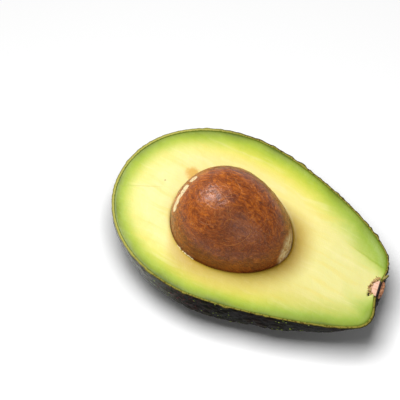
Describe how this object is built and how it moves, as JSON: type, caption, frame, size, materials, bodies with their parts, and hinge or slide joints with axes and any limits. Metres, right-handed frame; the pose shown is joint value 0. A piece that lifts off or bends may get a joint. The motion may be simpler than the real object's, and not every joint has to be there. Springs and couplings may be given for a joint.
{
  "type": "avocado half with seed",
  "caption": "Half of a ripe dark-skinned avocado, cut lengthwise, lying on its back with its large brown seed in the flesh.",
  "frame": {"origin": "on the flat resting spot, straight below the fruit's widest section, in the surface that it lies on", "axes": "+X along the fruit from the widest section to the stem, +Z square to the cut face and up, +Y completes a right-handed frame"},
  "size_m": [0.106, 0.0676, 0.0544],
  "materials": {
    "skin": "pebbled, slightly glossy rind, dark green to purple brown",
    "flesh": "moist, smooth cut flesh, green under the skin and pale yellow inwards",
    "seed": "satin brown seed coat with fine lighter fibres",
    "stem_wood": "freshly cut pale pink wood",
    "stem_bark": "dry brown bark"
  },
  "bodies": {
    "root": {"skin": "skin", "flesh": "flesh", "seed": "seed", "stem_core": "stem_wood", "stem_cap": "stem_bark"}
  },
  "joints": []
}
